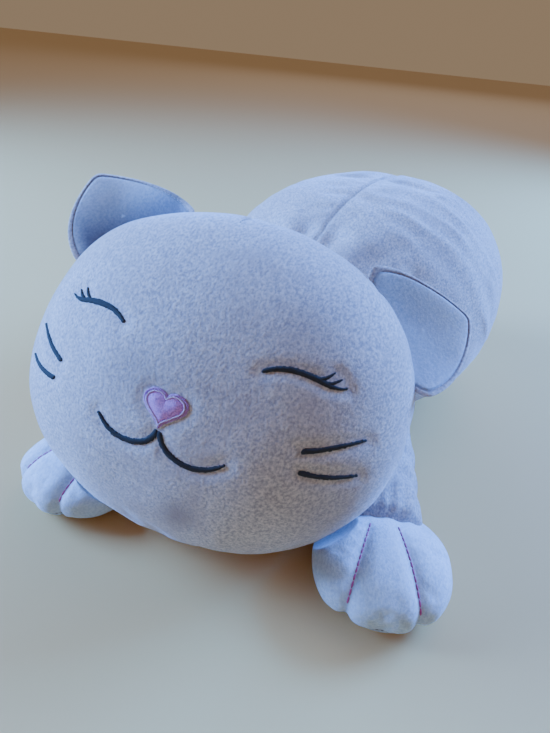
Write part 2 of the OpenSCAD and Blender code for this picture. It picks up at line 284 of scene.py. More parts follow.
def curve_through(stops, spacing):
    """A smooth curve through the stops, as points that far apart."""
    stops = np.asarray(stops, float)
    ends = np.concatenate([[2 * stops[0] - stops[1]], stops, [2 * stops[-1] - stops[-2]]])
    t = np.linspace(0, 1, 40, endpoint=False)[:, None]
    runs = []
    for k in range(1, len(ends) - 2):
        a, b, c, d = ends[k - 1:k + 3]
        square, cube = 2 * a - 5 * b + 4 * c - d, 3 * b - a - 3 * c + d
        runs.append(0.5 * (2 * b + (c - a) * t + square * t ** 2 + cube * t ** 3))
    return evenly(np.concatenate(runs + [stops[-1:]]), spacing)


def evenly(line, spacing):
    """A line as points that far apart."""
    along = np.concatenate([[0], np.cumsum(np.linalg.norm(np.diff(line, axis=0), axis=1))])
    count = max(3, int(round(along[-1] / spacing)) + 1)
    wanted = np.linspace(0, along[-1], count)
    return np.stack([np.interp(wanted, along, line[:, k]) for k in range(line.shape[1])], 1)


def satin(stops, widths, seed, pitch=0.9, height=1.1, slant=0.35, across=9):
    """A satin-stitched stroke laid flat: points (x, y), heights above the cloth, distance along, and faces.
    Threads lie side by side across it at the pitch, their ends a little uneven."""
    spacing = pitch / 3
    line = curve_through(stops, spacing)
    count = len(line)
    along = np.arange(count) * spacing
    heading = np.gradient(line, axis=0)
    heading /= np.linalg.norm(heading, axis=1)[:, None]
    side = np.stack([-heading[:, 1], heading[:, 0]], 1)
    wide = np.interp(np.linspace(0, 1, count), np.linspace(0, 1, len(widths)), widths)
    ragged = np.random.default_rng(seed).normal(0, 0.16, (int(along[-1] / pitch) + 2, 2))
    thread = (along / pitch).astype(int)
    ridge = 0.5 + 0.5 * np.cos(2 * np.pi * along / pitch)
    to_end = np.minimum(along, along[-1] - along)
    round_end = np.sqrt(np.clip(1 - (1 - np.clip(to_end / (wide / 2), 0, 1)) ** 2, 0.02, 1))
    spots, heights = [], []
    for c in np.linspace(-1, 1, across):
        uneven = np.where(c < 0, ragged[thread, 0], ragged[thread, 1]) * abs(c)
        reach = (c * wide / 2 + np.sign(c) * uneven) * round_end
        spots.append(line + side * reach[:, None] + heading * (c * slant * wide * round_end / 2)[:, None])
        dome = np.sqrt(max(0.0, 1 - c * c))
        heights.append((height * dome * (0.8 + 0.2 * ridge)) * round_end - 0.35 * abs(c) ** 6)
    spots = np.stack(spots, 1).reshape(-1, 2)
    heights = np.stack(heights, 1).reshape(-1)
    i, j = np.meshgrid(np.arange(count - 1), np.arange(across - 1), indexing="ij")
    quads = np.stack([i * across + j, (i + 1) * across + j, (i + 1) * across + j + 1, i * across + j + 1], -1)
    return spots, heights, np.repeat(along, across), quads.reshape(-1, 4)


def laid_on_face(spots, heights):
    """Flat points (x, y) on the face, raised by their heights."""
    laid = np.zeros((len(spots), 3))
    for k, (x, y) in enumerate(spots):
        spot, normal, _, _ = Made.head.ray_cast(Vector((x, -130.0, y)), Vector((0, 1, 0)))
        if spot is None:
            raise RuntimeError("a stitch lies beside its cover")
        laid[k] = np.array(spot) + np.array(normal) * heights[k]
    return laid


def joined(parts):
    """Several (points, faces, values) as one."""
    points, faces, values, count = [], [], [], 0
    for p, f, v in parts:
        points.append(p)
        faces.extend([tuple(int(i) + count for i in q) for q in f])
        values.append(v)
        count += len(p)
    return np.concatenate(points), faces, np.concatenate(values)


def stitches(line, radius, length, room):
    """Separate stitches along a line of points: rounded lengths of thread with room between them."""
    line = evenly(line, 0.5)
    total = 0.5 * (len(line) - 1)
    parts, start = [], room / 2
    while start + length < total:
        at = np.linspace(start, start + length, 6)
        centre = np.stack([np.interp(at, np.arange(len(line)) * 0.5, line[:, k]) for k in range(3)], 1)
        ahead = centre[-1] - centre[0]
        ahead /= np.linalg.norm(ahead)
        side = np.cross(ahead, (0.0, 0.0, 1.0) if abs(ahead[2]) < 0.9 else (1.0, 0.0, 0.0))
        side /= np.linalg.norm(side)
        up = np.cross(side, ahead)
        size = radius * np.sqrt(np.clip(1 - np.linspace(-1, 1, 6) ** 4, 0.03, 1))
        points, faces = tube(centre, np.repeat(side[None], 6, 0), np.repeat(up[None], 6, 0), size, size, 6)
        parts.append((points, faces, np.zeros(len(points))))
        start += length + room
    return joined(parts)


# ---------- materials ----------

def add(tree, kind, settings=None, sockets=None):
    """Adds a node. settings are its own values, and sockets are its inputs' values or what they take."""
    node = tree.nodes.new(kind)
    for key, value in (settings or {}).items():
        setattr(node, key, value)
    for key, value in (sockets or {}).items():
        if isinstance(value, bpy.types.NodeSocket):
            tree.links.new(value, node.inputs[key])
        else:
            node.inputs[key].default_value = value
    return node


def blank_material(name, **shader):
    """A new material with one Principled shader, whose constants are set on its own sockets."""
    material = bpy.data.materials.new(name)
    material.use_nodes = True
    tree = material.node_tree
    tree.nodes.clear()
    surface = add(tree, "ShaderNodeBsdfPrincipled", sockets=shader)
    add(tree, "ShaderNodeOutputMaterial", sockets={"Surface": surface.outputs["BSDF"]})
    return material, tree, surface


def dress(tree, surface, colour, relief):
    """Links a surface's colour and its fine relief."""
    tree.links.new(colour, surface.inputs["Base Color"])
    tree.links.new(relief.outputs[0], surface.inputs["Normal"])


# settings of the nodes that turn one colour into another, and of those that read what a cover keeps
MIXED = {"data_type": "RGBA"}
DARKENED = {"data_type": "RGBA", "blend_type": "MULTIPLY"}
SEWN_AT, ALONG = {"attribute_name": "sewn_at"}, {"attribute_name": "along"}
# the seam mark darkens the pile: partly dirt in the seams, partly painted shade in them, in the ear pockets
# and over the sleeves
RUBBED, SEAM_AND_SHADE = {"attribute_name": "rubbed"}, {"attribute_name": "seam"}


def velboa(name, tips, roots, brushed, dirt):
    """Velboa: polyester knitted with a pile and sheared to about 1.5 mm. The eye sees soft cloth without a
    gloss, a fine mottled grain where the tips lean, paler and darker drifts where the pile was brushed, a
    pale sheen at grazing angles, and darker pile along the seams and toe lines, partly dirt and partly
    painted shade, with painted shade also in the ear pockets and over the sleeves."""
    material, tree, surface = blank_material(name, **{
        "Roughness": 0.85, "IOR": 1.5, "Specular IOR Level": 0.25,
        "Sheen Weight": 0.55, "Sheen Roughness": 0.38, "Sheen Tint": linear("#dfe8ff")})
    sewn = add(tree, "ShaderNodeAttribute", SEWN_AT).outputs["Vector"]
    # the grain is drawn at 1.6 mm, coarser than the real 0.5 mm tufts, so that it shows
    nap = add(tree, "ShaderNodeMapping", sockets={
        "Vector": sewn, "Rotation": (0.5, 0.3, 0.7), "Scale": (1, 0.55, 1)}).outputs[0]
    grain = add(tree, "ShaderNodeTexNoise", sockets={
        "Vector": nap, "Scale": 1000 / 1.6, "Detail": 3.0, "Roughness": 0.6}).outputs["Fac"]
    tuft = add(tree, "ShaderNodeTexNoise", sockets={
        "Vector": nap, "Scale": 1000 / 3.6, "Detail": 2.0, "Roughness": 0.5}).outputs["Fac"]
    drift = add(tree, "ShaderNodeTexNoise", sockets={
        "Vector": sewn, "Scale": 1000 / 42, "Detail": 3.0, "Roughness": 0.55,
        "Distortion": 0.6}).outputs["Fac"]
    mixed = add(tree, "ShaderNodeMath", {"operation": "MULTIPLY_ADD"},
                {0: tuft, 1: 0.22, 2: grain}).outputs[0]
    lean = add(tree, "ShaderNodeMapRange", sockets={"Value": mixed, "From Min": 0.46, "From Max": 0.76})
    pile = add(tree, "ShaderNodeMix", MIXED, {0: lean.outputs[0], 6: linear(roots), 7: tips})
    drifts = add(tree, "ShaderNodeMapRange", sockets={
        "Value": drift, "From Min": 0.48, "From Max": 0.72, "To Max": 0.5})
    worn = add(tree, "ShaderNodeMix", MIXED, {0: drifts.outputs[0], 6: pile.outputs[2], 7: linear(brushed)})
    rubbed = add(tree, "ShaderNodeAttribute", RUBBED).outputs["Fac"]
    broken = add(tree, "ShaderNodeMath", {"operation": "MULTIPLY", "use_clamp": True},
                 {0: rubbed, 1: mixed})
    marked = add(tree, "ShaderNodeMix", MIXED, {0: broken.outputs[0], 6: worn.outputs[2], 7: linear(dirt)})
    # painted shade and dirt: the seam mark multiplies the pile towards #8d8088 in seams, toe lines, ear
    # pockets and over the sleeves
    seam = add(tree, "ShaderNodeAttribute", SEAM_AND_SHADE).outputs["Fac"]
    shade = add(tree, "ShaderNodeMath", {"operation": "MULTIPLY", "use_clamp": True},
                {0: seam, 1: 0.6})
    seam_dirt_and_shade = add(tree, "ShaderNodeMix", DARKENED, {
        0: shade.outputs[0], 6: marked.outputs[2], 7: linear("#8d8088")})
    soft = add(tree, "ShaderNodeBump", sockets={"Strength": 0.35, "Distance": 0.8 * MM, "Height": tuft})
    fine = add(tree, "ShaderNodeBump", sockets={
        "Strength": 0.55, "Distance": 0.6 * MM, "Height": grain, "Normal": soft.outputs[0]})
    dress(tree, surface, seam_dirt_and_shade.outputs[2], fine)
    return material


def thread(name, colour, shade, twist=0.9, gloss=0.42):
    """Embroidery thread: shiny polyester filaments laid side by side. The eye sees narrow ridges across the
    stroke with a soft highlight on each. The ridges are drawn at 0.9 mm, twice the real 0.4 mm, to show."""
    material, tree, surface = blank_material(name, **{
        "Roughness": gloss, "IOR": 1.55, "Specular IOR Level": 0.45,
        "Sheen Weight": 0.15, "Sheen Roughness": 0.4})
    along = add(tree, "ShaderNodeAttribute", ALONG).outputs["Fac"]
    turns = add(tree, "ShaderNodeMath", {"operation": "MULTIPLY"},
                {0: along, 1: 2 * math.pi / (twist * MM)})
    ridge = add(tree, "ShaderNodeMath", {"operation": "COSINE"}, {0: turns.outputs[0]})
    sewn = add(tree, "ShaderNodeAttribute", SEWN_AT).outputs["Vector"]
    strand = add(tree, "ShaderNodeTexNoise", sockets={"Vector": sewn, "Scale": 1000 / 0.8, "Detail": 2.0})
    tone = add(tree, "ShaderNodeMath", {"operation": "MULTIPLY_ADD"},
               {0: ridge.outputs[0], 1: 0.3, 2: strand.outputs["Fac"]}).outputs[0]
    lit = add(tree, "ShaderNodeMix", MIXED, {0: tone, 6: linear(shade), 7: colour})
    ridges = add(tree, "ShaderNodeBump", sockets={"Strength": 0.6, "Distance": 0.25 * MM, "Height": tone})
    dress(tree, surface, lit.outputs[2], ridges)
    return material


def nose_plush(name, colour, fleck):
    """Brushed applique felt: short fibres of two shades, cut close. The eye sees coarse light and dark
    flecks."""
    material, tree, surface = blank_material(name, **{
        "Roughness": 0.8, "IOR": 1.5, "Specular IOR Level": 0.3, "Sheen Weight": 0.5, "Sheen Roughness": 0.35,
        "Sheen Tint": linear("#f6ddff")})
    sewn = add(tree, "ShaderNodeAttribute", SEWN_AT).outputs["Vector"]
    # flecks 0.9 mm across, as coarse as they need to be to show
    flecks = add(tree, "ShaderNodeTexVoronoi", sockets={"Vector": sewn, "Scale": 1000 / 0.9})
    fibre = add(tree, "ShaderNodeTexNoise", sockets={"Vector": sewn, "Scale": 1000 / 0.6, "Detail": 2.0})
    tone = add(tree, "ShaderNodeMath", {"operation": "MULTIPLY_ADD", "use_clamp": True},
               {0: flecks.outputs["Distance"], 1: 0.9, 2: -0.1})
    flecked = add(tree, "ShaderNodeMix", MIXED, {0: tone.outputs[0], 6: colour, 7: linear(fleck)})
    fibres = add(tree, "ShaderNodeBump", sockets={
        "Strength": 0.7, "Distance": 0.5 * MM, "Height": fibre.outputs["Fac"]})
    dress(tree, surface, flecked.outputs[2], fibres)
    return material


def woven_satin(name, colour, shade):
    """Woven polyester satin ribbon: fine parallel floats. The eye sees a smooth pale band with a soft
    gloss."""
    material, tree, surface = blank_material(name, **{
        "Roughness": 0.38, "IOR": 1.55, "Specular IOR Level": 0.5, "Sheen Weight": 0.1})
    # floats 0.8 mm apart, three times the real spacing, to show
    sewn = add(tree, "ShaderNodeAttribute", SEWN_AT).outputs["Vector"]
    weave = add(tree, "ShaderNodeTexWave", {"bands_direction": "Y"}, {
        "Vector": sewn, "Scale": 1000 / 0.8 / 20, "Distortion": 0.4}).outputs["Fac"]
    shaded = add(tree, "ShaderNodeMix", MIXED, {0: weave, 6: linear(shade), 7: colour})
    floats = add(tree, "ShaderNodeBump", sockets={"Strength": 0.3, "Distance": 0.1 * MM, "Height": weave})
    dress(tree, surface, shaded.outputs[2], floats)
    return material


def material_of(key):
    """Each material is made once, from the colours in the panel."""
    if key in bpy.data.materials:
        return bpy.data.materials[key]
    chosen = bpy.context.scene.plush_cat_colours
    makers = {
        "greige_velboa": lambda: velboa(key, [*chosen.cover, 1.0], "#a8a0aa", "#b9a9ac", "#86706c"),
        "white_velboa": lambda: velboa(key, [*chosen.paws, 1.0], "#b5c8e2", "#c6d2e6", "#a99fab"),
        "black_satin_thread": lambda: thread(key, [*chosen.embroidery, 1.0], "#0a0a0f"),
        "orchid_nose_plush": lambda: nose_plush(key, [*chosen.nose, 1.0], "#8f5fae"),
        "pale_satin_thread": lambda: thread(key, linear("#f0d7f6"), "#cfa9de", gloss=0.35),
        "pink_satin_thread": lambda: thread(key, linear("#c98bd0"), "#9c62a8", gloss=0.4),
        "rose_sewing_thread": lambda: thread(key, [*chosen.toe_thread, 1.0], "#7e3a62", gloss=0.5),
        "pale_sewing_thread": lambda: thread(key, linear("#c3bcc4"), "#9a93a0", gloss=0.6),
        "grey_sewing_thread": lambda: thread(key, linear("#6f6a78"), "#4c4854", gloss=0.6),
        "white_label_satin": lambda: woven_satin(key, linear("#eeeef2"), "#d8d8e0"),
    }
    return makers[key]()


# ---------- settings ----------

def size_setting(name, what, millimetres):
    return bpy.props.FloatProperty(name=name, description=what, default=millimetres * MM, unit="LENGTH")


def colour_setting(name, what, hex_colour):
    return bpy.props.FloatVectorProperty(name=name, description=what, size=3, subtype="COLOR", min=0, max=1,
                                         default=linear(hex_colour)[:3])


class PLUSHCAT_Sizes(bpy.types.PropertyGroup):
    seam_depth: size_setting("Seam Depth", "How deep the seams draw the cover in", 2.2)
    drape_depth: size_setting("Drape Depth", "Height of the folds on the torso", 2.4)
    toe_depth: size_setting("Toe Depth", "How deep the toe lines draw the paws in", 3.0)
    stroke_width: size_setting("Stroke Width", "Width of the satin stitched strokes", 3.7)
    ear_thickness: size_setting("Ear Thickness", "Thickness of a stuffed ear", 11.5)
    filling: bpy.props.FloatProperty(
        name="Filling", description="How firmly the toy is stuffed, 0 slack to 1 tight", default=0.75,
        min=0, max=1, subtype="FACTOR")


class PLUSHCAT_Colours(bpy.types.PropertyGroup):
    cover: colour_setting("Cover", "Pile of the head, torso, legs and tail", "#e4d8d8")
    paws: colour_setting("Paws", "Pile of the paws and ear fronts", "#d8e6f8")
    embroidery: colour_setting("Embroidery", "Thread of the eyes, mouth and whiskers", "#1a191f")
    nose: colour_setting("Nose", "Plush of the nose", "#f0a4ea")
    toe_thread: colour_setting("Toe Thread", "Thread that divides the toes", "#d8559a")
    floor: colour_setting("Floor", "Pale floor under the toy", "#eabb80")


class Made:
    """What later operators need from earlier ones: the finished head, in its own frame in millimetres."""
    head = None


def sizes():
    return bpy.context.scene.plush_cat_sizes


def cover(name, points, faces, keys, slot, nodes, marks, picks=None):
    """A stuffed cover: its piece, with the CAD nodes that it stands for hidden. slot is not used."""
    made = piece(name, points, faces, [material_of(k) for k in keys], marks, picks)
    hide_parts(*nodes)
    return made


def threads(name, points, faces, along, key="grey_sewing_thread", nodes=()):
    """A piece made of thread."""
    made = piece(name, points, faces, [material_of(key)], {"along": along})
    if nodes:
        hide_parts(*nodes)
    return made


# ---------- strokes on the face, in millimetres: x towards the cat's left, y up the face ----------

EYE = {
    "lid": ([(45, 4), (51.5, 8), (59, 10.6), (67, 11.6), (76, 11.5), (84, 10.6), (88, 10.8)],
            (2.6, 3.6, 4.0, 4.2, 4.4, 4.2, 2.6)),
    "lash_high": ([(77, 11.6), (81.5, 15.2), (84.5, 19.4)], (2.8, 2.2, 1.1)),
    "lash_middle": ([(82, 11), (86.5, 13.8), (89.5, 17.2)], (2.8, 2.0, 1.0)),
    "lash_low": ([(84, 10.6), (89.5, 11.2), (94, 13.2)], (2.8, 2.2, 1.1)),
}
MOUTH = {
    "left": ([(0.5, -48.8), (3.6, -54.6), (9, -59.0), (17, -61.8), (26, -62.0), (35, -59.4), (43.5, -53.6)],
             (4.4, 4.2, 3.9, 3.8, 3.7, 3.2, 1.7)),
    "right": ([(-0.5, -48.8), (-3.6, -54.6), (-9, -58.4), (-17, -60.4), (-26, -60.0), (-34, -57.0),
               (-42, -51.0)],
              (4.4, 4.2, 3.9, 3.8, 3.7, 3.2, 1.7)),
}
WHISKERS = {
    "upper": ([(81, -31), (92, -25.5), (103, -18.5), (114, -10.5)], (3.7, 3.3, 2.9, 1.5)),
    "lower": ([(83, -42.5), (94, -41), (105, -37.5), (116, -32.0)], (3.7, 3.3, 2.9, 1.5)),
}
NOSE_PLACE = (-0.8, -36.5)
NOSE_WIDTH = 27.0
NOSE_RISE = 1.5


def heart(width, count=72):
    """The outline of a soft heart, about its middle."""
    t = np.linspace(0, 2 * np.pi, count, endpoint=False)
    x = 16 * np.sin(t) ** 3
    y = 13 * np.cos(t) - 4.6 * np.cos(2 * t) - 1.6 * np.cos(3 * t) - 0.8 * np.cos(4 * t)
    y = y - (y.max() + y.min()) / 2
    return np.stack([x, y * 0.88], 1) * width / 32


def mirrored(stops):
    return [(-x, y) for x, y in stops]


def sunk_by_strokes(points):
    """How near each point of the face lies to a sewn stroke, 1 on it."""
    lines = [np.array(s) for group in (EYE, WHISKERS) for s, _ in group.values()]
    lines += [line * (-1, 1) for line in lines] + [np.array(s) for s, _ in MOUTH.values()]
    lines.append(heart(NOSE_WIDTH) + NOSE_PLACE)
    stops = np.concatenate([curve_through(line, 1.5) for line in lines])
    near = np.full(len(points), 1e3)
    front = points[:, 1] < HEAD_SEAM_Y
    flat = points[front][:, [0, 2]]
    best = np.full(len(flat), 1e6)
    for k in range(0, len(stops), 40):
        best = np.minimum(best, ((flat[:, None] - stops[None, k:k + 40]) ** 2).sum(2).min(1))
    near[front] = np.sqrt(best)
    return near


# ---------- pieces ----------

class PLUSHCAT_OT_head(bpy.types.Operator):
    """Add the stuffed head with its seam and crown dart"""
    bl_idname = "plushcat.head"
    bl_label = "Add Head"

    def execute(self, context):
        s = sizes()
        directions, quads = ball(44)
        points = blown(directions, HEAD_HALF - 1.5, HEAD_ROUNDNESS)
        seam = np.abs(points[:, 1] - HEAD_SEAM_Y)
        points = stuffed(points, quads, np.where(seam < 2.5, 1.0, 0.0), 4.0, pressure=3.0, slack=0.01)
        points, quads = divided(points * MM, quads)
        points /= MM
        out = normals(points, quads)
        seam = dip(points[:, 1] - HEAD_SEAM_Y, 2.6)
        on_crown = (points[:, 1] < HEAD_SEAM_Y + 2) * (points[:, 2] > 0)
        dart = dip(points[:, 0] - DART_X, 2.2) * step_up(points[:, 1], DART_FRONT, DART_FRONT + 20) * on_crown
        sewn = dip(np.maximum(sunk_by_strokes(points) - 1.5, 0), 3.6)
        pucker = waves(points, 13, 3) * dip(points[:, 1] - HEAD_SEAM_Y, 13)
        under = step_up(-points[:, 2], 20, 105) * step_up(-points[:, 1], -60, 10)
        move = (waves(points, 75, 1) * 2.2 + waves(points, 34, 2) * (0.5 + 0.7 * under)
                - seam * s.seam_depth / MM - dart * 1.9 - sewn * 1.15 + pucker * 0.8)
        points = points + out * move[:, None]
        world = placed(points, HEAD)
        world[:, 2] = flattened(world[:, 2] / MM - 0.4, 2.0) * MM
        chin = np.array([22, -61, -92.5])
        beside_nose = np.array([-22, -84, -20])
        rubbed = (0.9 * dip(np.linalg.norm(points - chin, axis=1), 13)
                  + 0.55 * dip(np.linalg.norm((points - beside_nose) * (0.8, 1, 1), axis=1), 15)
                  + 0.3 * dip(np.linalg.norm(points - (104, -45, -60), axis=1), 22)
                  + 0.3 * dip(np.linalg.norm(points - (60, -78, 38), axis=1), 18))
        made = cover("head_cover", world, quads, ["greige_velboa"], "velboa_greige",
                     ["head_front_panel", "head_back_panel", "head_filling"],
                     {"seam": np.maximum(seam * 0.8, dart), "rubbed": rubbed})
        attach(made, "head")
        Made.head = BVHTree.FromPolygons(local(world, HEAD).tolist(), quads.tolist())
        ring = []
        for a in np.linspace(0, 2 * np.pi, 300):
            outward = Vector((math.cos(a), 0, math.sin(a)))
            spot, _, _, _ = Made.head.ray_cast(Vector((0, HEAD_SEAM_Y, 0)), outward)
            ring.append(np.array(spot) - 0.15 * np.array(outward))
        p, f, v = stitches(np.array(ring), 0.42, 3.0, 1.0)
        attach(threads("head_seam_stitches", placed(p, HEAD), f, v, nodes=["head_seam"]), "head")
        tuck = []
        for y in np.linspace(DART_FRONT + 2, HEAD_SEAM_Y, 30):
            spot, _, _, _ = Made.head.ray_cast(Vector((DART_X, y, 20)), Vector((0, 0, 1)))
            tuck.append(spot)
        p, f, v = stitches(np.array(tuck), 0.4, 2.6, 0.9)
        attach(threads("crown_dart_stitches", placed(p, HEAD), f, v, nodes=["crown_dart"]), "head")
        return {"FINISHED"}


def stroke_piece(name, strokes, node, key, slot, mirror=False, seed=0, height=1.15):
    """Satin strokes laid on the face as one piece."""
    parts = []
    for k, (stops, widths) in enumerate(strokes):
        stops = mirrored(stops) if mirror else stops
        spots, heights, along, quads = satin(stops, widths, seed + k, height=height)
        laid = laid_on_face(spots, heights)
        parts.append((laid, quads, along * MM))
    p, f, v = joined(parts)
    made = threads(name, placed(p, HEAD), f, v, key, [node] if node else ())
    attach(made, "head")
    return made


class PLUSHCAT_OT_face(bpy.types.Operator):
    """Add the embroidered eyes, mouth and whiskers and the heart-shaped nose"""
    bl_idname = "plushcat.face"
    bl_label = "Add Face"

    def execute(self, context):
        black = ("black_satin_thread", "black_satin_thread")
        scale = sizes().stroke_width / MM / 3.7
        for name, strokes, node, mirror, seed in (
                ("left_eye_embroidery", EYE, "left_eye", False, 10),
                ("right_eye_embroidery", EYE, "right_eye", True, 20),
                ("left_whisker_embroidery", WHISKERS, "left_whiskers", False, 30),
                ("right_whisker_embroidery", WHISKERS, "right_whiskers", True, 40),
                ("mouth_embroidery", MOUTH, "mouth", False, 50)):
            fitted = [(stops, [w * scale for w in widths]) for stops, widths in strokes.values()]
            stroke_piece(name, fitted, node, *black, mirror=mirror, seed=seed)
        outline = heart(NOSE_WIDTH - 2.4)
        rings = np.sin(np.linspace(0, np.pi / 2, 10))
        spots = np.concatenate([[(0, 0)]] + [outline * r for r in rings[1:]]) + NOSE_PLACE
        count = len(outline)
        domed = NOSE_RISE * np.sqrt(1 - rings ** 4) - 0.3 * rings ** 8
        heights = np.concatenate([[NOSE_RISE], np.repeat(domed[1:], count)])
        faces = [(0, 1 + (j + 1) % count, 1 + j) for j in range(count)]
        for i in range(len(rings) - 2):
            a, b = 1 + i * count, 1 + (i + 1) * count
            faces += [(a + j, a + (j + 1) % count, b + (j + 1) % count, b + j) for j in range(count)]
        laid = laid_on_face(spots, heights)
        nose = piece("nose_patch", placed(laid, HEAD), faces, [material_of("orchid_nose_plush")])
        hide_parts("nose")
        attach(nose, "head")
        closed = lambda w: [tuple(p) for p in np.concatenate([heart(w), heart(w)[:1]]) + NOSE_PLACE]
        stroke_piece("nose_outer_rim", [(closed(NOSE_WIDTH), [1.9, 1.9])], "nose_border",
                     "pink_satin_thread", "nose_border_thread", seed=60, height=1.2)
        stroke_piece("nose_inner_rim", [(closed(NOSE_WIDTH - 3.0), [1.3, 1.3])], None,
                     "pale_satin_thread", "nose_border_thread", seed=70, height=1.7)
        return {"FINISHED"}


def ear_parts(side):
    """An ear's frame in the head's own frame, and the length of its base."""
    facts = EARS[side]
    k = math.sqrt(1 - (2 * EAR_BASE_Y / 187) ** 2)
    a, c = k * 283 / 2, k * 239 / 2

    def ring(t):
        t = math.radians(t)
        r = 1 / math.sqrt((math.sin(t) / a) ** 2 + (math.cos(t) / c) ** 2)
        return np.array((r * math.sin(t), r * math.cos(t)))

    near, far = ring(facts["turn"] - EAR_SPAN / 2), ring(facts["turn"] + EAR_SPAN / 2)
    middle, run = (near + far) / 2, far - near
    slope = math.degrees(math.atan2(-run[1], run[0]))
    base = shift((middle[0], EAR_BASE_Y, middle[1])) @ turn(slope, "Y") @ turn(-facts["lean"], "X")
    if side == "right":
        base = Matrix.Diagonal((-1, 1, 1, 1)) @ base
    return base, float(np.linalg.norm(run)), facts["apex"]


def ear_outline(length, apex, count=132):
    """The flat outline of an ear: sides that bulge up to a blunt tip, and a base that dips into the head."""
    t = np.linspace(0, np.pi, 120)
    rise = np.sin(t) ** 1.05
    side = -np.sign(np.cos(t)) * np.abs(np.cos(t)) ** 1.55 * length / 2
    over = np.stack([side + apex * rise, EAR_HEIGHT * rise], 1)
    under = np.linspace(1, -1, 60)[1:-1]
    base = np.stack([under * length / 2, -13 * (1 - under ** 2)], 1)
    line = np.concatenate([over, base, over[:1]])[::-1]
    line = evenly(line, np.linalg.norm(np.diff(line, axis=0), axis=1).sum() / count)[:-1]
    for _ in range(3):
        line = (np.roll(line, 1, 0) + 2 * line + np.roll(line, -1, 0)) / 4
    return line, np.array((apex * 0.5, EAR_HEIGHT * 0.4))


def ear_cup(u, v):
    """How far back the middle layer of an ear lies: most at its middle, and bent more across than along."""
    return np.sqrt((EAR_CUP + 5) ** 2 - u ** 2 - 0.3 * (v - EAR_HEIGHT / 2) ** 2) - EAR_CUP - 1


class PLUSHCAT_OT_ears(bpy.types.Operator):
    """Add both ears: a pale cupped front, a darker back rolled round the edge, and the stitched seam"""
    bl_idname = "plushcat.ears"
    bl_label = "Add Ears"

    def execute(self, context):
        for side in EARS:
            base, length, apex = ear_parts(side)
            line, middle = ear_outline(length, apex)
            count, depth = len(line), 34
            rho = np.sin(np.linspace(0, np.pi / 2, depth + 1))[1:]
            half = sizes().ear_thickness / MM / 2
            seam_at = 0.915
            plan = middle + (line - middle)[None] * rho[:, None, None]
            cup = ear_cup(plan[..., 0], plan[..., 1])
            thick = half * np.sqrt(np.clip(1 - rho ** 5, 0, 1))[:, None]
            groove = dip(rho - seam_at, 0.014)[:, None] * 1.5
            level = np.full((depth * count, 1), 9.0)
            swell = waves(np.concatenate([plan.reshape(-1, 2), level], 1), 24, 5).reshape(depth, count)
            front = np.stack([plan[..., 0], cup - thick + groove + swell * 0.7, plan[..., 1]], -1)
            rear = np.stack([plan[..., 0], cup + thick + swell * 0.9, plan[..., 1]], -1)[:-1]
            deep = float(ear_cup(middle[0], middle[1]))
            tips = np.array([(middle[0], deep - half, middle[1]), (middle[0], deep + half, middle[1])])
            points = np.concatenate([front.reshape(-1, 3), rear.reshape(-1, 3), tips])
            last = depth - 1

            def where(surface, i, j):
                """The point of ring i on the front (0) or the back (1), which share the last ring."""
                return (0 if surface == 0 or i == last else depth * count) + i * count + j % count

            faces, picks = [], []
            for surface in (0, 1):
                hub = len(points) - 2 + surface
                for j in range(count):
                    fan = (hub, where(surface, 0, j), where(surface, 0, j + 1))
                    faces.append(fan if surface == 0 else fan[::-1])
                    picks.append(0 if surface == 0 else 1)
                    for i in range(last):
                        quad = (where(surface, i, j), where(surface, i + 1, j),
                                where(surface, i + 1, j + 1), where(surface, i, j + 1))
                        faces.append(quad if surface == 0 else quad[::-1])
                        picks.append(0 if surface == 0 and rho[i + 1] <= seam_at else 1)
            if side == "right":
                faces = [f[::-1] for f in faces]
            seam = np.zeros(len(points))
            seam[:depth * count] = np.repeat(dip(rho - seam_at, 0.03), count)
            # painted shade: the seam mark darkens the pocket at the base of the front, where the cup's shadow
            # falls
            inward = step_up(-np.abs(plan[..., 0]), -length * 0.52, -length * 0.36)
            pocket_shade = step_up(-plan[..., 1], -58, -10) * inward
            seam[:depth * count] = np.maximum(seam[:depth * count], EARS[side]["shade"] * pocket_shade.ravel())
            whole = HEAD @ base
            made = cover(f"{side}_ear_cover", placed(points, whole), faces, ["white_velboa", "greige_velboa"],
                         "velboa_white",
                         [f"{side}_ear_front", f"{side}_ear_back", f"{side}_ear_wadding"],
                         {"seam": seam, "rubbed": np.zeros(len(points))}, picks)
            i = int(np.argmin(np.abs(rho - seam_at)))
            p, f, v = stitches(front[i] + (0, 0.1, 0), 0.38, 2.2, 1.3)
            stitching = threads(f"{side}_ear_stitches", placed(p, whole), f, v, "pale_sewing_thread",
                                nodes=[f"{side}_ear_seam"])
            for each in (made, stitching):
                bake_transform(each)
        return {"FINISHED"}


# patches of crushed pile near the back seam: how strong, where, and how wide
CRUSHED_PILE = ((0.75, (-28, 20, 218), 13), (0.7, (14, 8, 220), 14), (0.55, (6, 52, 216), 12),
                (0.6, (26, -38, 210), 13), (0.5, (-42, 10, 214), 12), (0.4, (70, 60, 196), 15))


